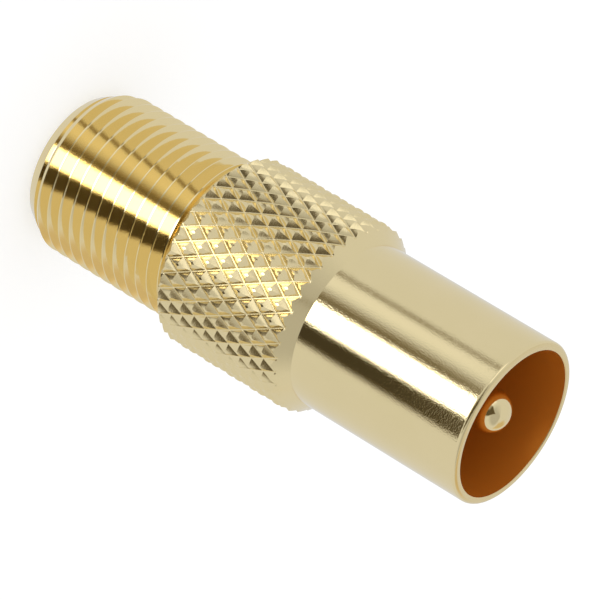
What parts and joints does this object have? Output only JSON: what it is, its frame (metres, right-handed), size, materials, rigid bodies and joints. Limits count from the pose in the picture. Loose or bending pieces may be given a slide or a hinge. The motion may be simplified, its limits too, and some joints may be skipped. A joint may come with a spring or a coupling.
{
  "type": "coaxial f connector adapter",
  "caption": "Straight coaxial adapter with a threaded F jack at one end, a diamond-knurled collar, and a 9.5 mm push-on plug sleeve with a round-tipped centre pin at the other.",
  "frame": {"origin": "centre of the F jack's face, which it stands on", "axes": "+Z along the coaxial axis, from the jack's face to the plug's mouth"},
  "size_m": [0.011, 0.011, 0.0304],
  "materials": {
    "gold_shell": "satin gold plate over turned brass",
    "gold_thread": "polished gold plate over turned brass",
    "contact": "polished gold plate",
    "insulator": "smooth milky plastic"
  },
  "bodies": {
    "root": {"threaded_barrel": "gold_thread", "plug_shell": "gold_shell", "front_insulator": "insulator", "socket_contact": "contact", "centre_pin": "contact", "rear_insulator": "insulator"}
  },
  "joints": []
}
